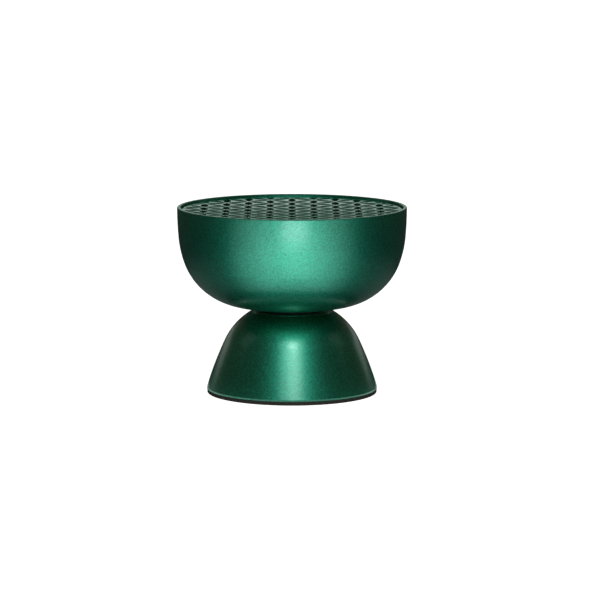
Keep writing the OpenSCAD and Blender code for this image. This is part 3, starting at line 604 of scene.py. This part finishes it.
class SPEAKER_OT_studio(bpy.types.Operator):
    """Sets up the pale floor, the soft lights and the camera"""
    bl_idname = "speaker.studio"
    bl_label = "Studio"
    bl_options = {"REGISTER", "UNDO"}

    def execute(self, context):
        self.floor()
        self.glow()
        self.skirt()
        self.room(context)
        self.front_lights()
        self.side_lights()
        self.back_lights()
        context.scene.view_settings.view_transform = "Standard"
        self.camera(context, context.scene.speaker_studio)
        return {"FINISHED"}

    def front_lights(self):
        """Soft key light from the front with a brighter strip in it, and glints on the bowl and the base."""
        key = card("key_softbox", size=(0.5, 0.66), place=(0, -0.7, 0.57), power=1.3, colour=COOL)
        strip = card("key_strip", size=(0.22, 0.6), place=(0.04, -0.7, 0.56), power=0.95)
        for light in (key, strip):
            spare("grille", light)
        floor_card("floor_glint", size=(0.18, 0.24), x=0.02, y=-0.46, power=0.95, colour=PALE_GLINT)
        floor_card("floor_strip", size=(0.05, 0.3), x=0.01, y=-0.24, power=0.025, colour=COOL_STRIP)
        card("dome_glint", size=(0.18, 0.1), place=(0.01, -0.62, 0.66), power=0.5, colour=COOL_GLINT)

    def side_lights(self):
        """Thin light on the edges of the base, and light across the grille from both sides and the front."""
        for side in (-1, 1):
            edge = card("edge_light", size=(0.3, 0.1), place=(side * 0.34, 0.49, 0.09), power=0.028)
            aim_at("base_shell", edge)
            across = card("grille_side", size=(0.7, 0.4), place=(side * 0.8, 0.1, 0.36), power=0.45,
                          aim=GRILLE_MIDDLE)
            aim_at("grille", across)
        front = card("grille_front", size=(0.6, 0.36), place=(0, -0.8, 0.33), power=0.5, aim=GRILLE_MIDDLE)
        aim_at("grille", front)

    def back_lights(self):
        """Weaker light from behind and from both sides."""
        card("back_card", size=(0.4, 0.36), place=(0, 0.85, 0.4), power=0.36, aim=RIM_MIDDLE)
        card("back_softbox", size=(0.4, 0.4), place=(0, 0.6, 0.8), power=0.6)
        for name, side in (("left_softbox", -1), ("right_softbox", 1)):
            card(name, size=(0.3, 0.5), place=(side * 0.7, 0.1, 0.6), power=0.06)

    def floor(self):
        """White floor, which the metal doesn't mirror: the light on it is made apart."""
        plane = flat("studio_floor", FLOOR_SIZE, 0)
        material, tree, shader = surface("pale_floor", roughness=0.9, emission_strength=1.0)
        noise = grain(tree, size=0.02)
        paint = ramp(tree, noise, (0.79, 0.79, 0.79), (0.81, 0.81, 0.81))
        tree.links.new(paint, shader.inputs["Base Color"])
        shader.inputs["Emission Color"].default_value = (*WHITE, 1)
        plane.data.materials.append(material)
        plane.visible_glossy = False

    def glow(self):
        """Light that the floor throws up at the metal: dim under the speaker, bright in front of it."""
        plane = flat("floor_glow", GLOW_SIZE, GLOW_LEVEL)
        material = bpy.data.materials.new("floor_glow")
        material.use_nodes = True
        tree = material.node_tree
        tree.nodes.clear()
        out = tree.nodes.new("ShaderNodeOutputMaterial")
        shine = tree.nodes.new("ShaderNodeEmission")
        tree.links.new(shine.outputs["Emission"], out.inputs["Surface"])
        shine.inputs["Color"].default_value = (*COOL, 1)
        place = tree.nodes.new("ShaderNodeTexCoord")
        parts = tree.nodes.new("ShaderNodeSeparateXYZ")
        tree.links.new(place.outputs["Object"], parts.inputs["Vector"])
        reach = tree.nodes.new("ShaderNodeVectorMath")
        reach.operation = "LENGTH"
        tree.links.new(place.outputs["Object"], reach.inputs[0])
        rise = tree.nodes.new("ShaderNodeFloatCurve")
        curve = rise.mapping.curves[0]
        for at, value in GLOW[1:-1]:
            curve.points.new(at / GLOW_REACH, value)
        curve.points[0].location = (0, GLOW[0][1])
        curve.points[-1].location = (1, GLOW[-1][1])
        rise.mapping.update()
        tree.links.new(spread(tree, reach.outputs["Value"], 0, 1, 0, GLOW_REACH), rise.inputs["Value"])
        turn = join(tree, parts.outputs["X"], parts.outputs["Y"], "ARCTAN2")
        aside = tree.nodes.new("ShaderNodeMath")
        aside.operation = "ABSOLUTE"
        tree.links.new(turn, aside.inputs[0])
        front = spread(tree, aside.outputs["Value"], 0, GLOW_FRONT, *GLOW_TURN)
        side = spread(tree, reach.outputs["Value"], *GLOW_SIDE, *GLOW_FADE)
        level = join(tree, front, side, "MAXIMUM")
        tree.links.new(join(tree, rise.outputs["Value"], level), shine.inputs["Strength"])
        plane.data.materials.append(material)
        plane.visible_camera = plane.visible_diffuse = plane.visible_shadow = False
        aim_at("bowl_shell", plane)

    def skirt(self):
        """Ring of floor close to the foot, which lights the skirt of the base alone."""
        ring = revolve("skirt_glow", [(radius, SKIRT_LEVEL) for radius in SKIRT_RING], SKIRT_SIDES)
        bpy.ops.object.mode_set(mode="OBJECT")
        material, _, shader = surface("skirt_glow", roughness=1.0, base_color=(0, 0, 0, 1),
                                      emission_strength=0.8)
        shader.inputs["Emission Color"].default_value = (*WHITE, 1)
        ring.data.materials.append(material)
        ring.visible_camera = ring.visible_diffuse = ring.visible_shadow = False
        aim_at("base_shell", ring)

    def room(self, context):
        """World that is white to the camera and a dim warm room to the speaker."""
        world = bpy.data.worlds.new("studio")
        context.scene.world = world
        world.use_nodes = True
        tree = world.node_tree
        tree.nodes.clear()
        out = tree.nodes.new("ShaderNodeOutputWorld")
        seen = tree.nodes.new("ShaderNodeBackground")
        seen.inputs["Color"].default_value = (*WHITE, 1)
        cast = tree.nodes.new("ShaderNodeBackground")
        cast.inputs["Color"].default_value = (*WARM_ROOM, 1)
        cast.inputs["Strength"].default_value = 0.045
        path = tree.nodes.new("ShaderNodeLightPath")
        mix = tree.nodes.new("ShaderNodeMixShader")
        tree.links.new(path.outputs["Is Camera Ray"], mix.inputs["Fac"])
        tree.links.new(cast.outputs["Background"], mix.inputs[1])
        tree.links.new(seen.outputs["Background"], mix.inputs[2])
        tree.links.new(mix.outputs["Shader"], out.inputs["Surface"])

    def camera(self, context, studio):
        """Camera at the photo's height, looking along +Y."""
        data = bpy.data.cameras.new("camera")
        data.lens = studio.lens
        data.sensor_width = 36
        data.shift_x = studio.aside
        data.clip_start, data.clip_end = 0.05, 20
        eye = bpy.data.objects.new("camera", data)
        context.scene.collection.objects.link(eye)
        target = Vector((0, 0, studio.aim))
        back = Vector((0, -math.cos(studio.tilt), math.sin(studio.tilt)))
        eye.location = target + back * studio.distance
        eye.rotation_euler = (-back).to_track_quat("-Z", "Y").to_euler()
        context.scene.camera = eye


class SPEAKER_PT_panel(bpy.types.Panel):
    """Lists the pieces of the speaker and their settings"""
    bl_idname = "SPEAKER_PT_panel"
    bl_label = "Speaker"
    bl_space_type = "VIEW_3D"
    bl_region_type = "UI"
    bl_category = "Speaker"

    def draw(self, context):
        layout = self.layout
        for step in STEPS:
            layout.operator(step.bl_idname, text=step.bl_label)
        for group in GROUPS:
            box = layout.box()
            settings = getattr(context.scene, group)
            for key in settings.bl_rna.properties.keys():
                if key not in ("rna_type", "name"):
                    box.prop(settings, key)


STEPS = (SPEAKER_OT_shells, SPEAKER_OT_cloth, SPEAKER_OT_surround, SPEAKER_OT_spider, SPEAKER_OT_mouldings,
         SPEAKER_OT_metals, SPEAKER_OT_driver, SPEAKER_OT_studio)
GROUPS = {"speaker_finish": SpeakerFinish, "speaker_soft": SpeakerSoft, "speaker_studio": SpeakerStudio}


def register():
    for name, group in GROUPS.items():
        bpy.utils.register_class(group)
        setattr(bpy.types.Scene, name, bpy.props.PointerProperty(type=group))
    for step in STEPS:
        bpy.utils.register_class(step)
    bpy.utils.register_class(SPEAKER_PT_panel)


def unregister():
    bpy.utils.unregister_class(SPEAKER_PT_panel)
    for step in reversed(STEPS):
        bpy.utils.unregister_class(step)
    for name, group in GROUPS.items():
        delattr(bpy.types.Scene, name)
        bpy.utils.unregister_class(group)


def main():
    register()
    bpy.ops.speaker.shells()
    bpy.ops.speaker.cloth()
    bpy.ops.speaker.surround()
    bpy.ops.speaker.spider()
    bpy.ops.speaker.mouldings()
    bpy.ops.speaker.metals()
    bpy.ops.speaker.driver()
    bpy.ops.speaker.studio()


if __name__ == "__main__":
    main()
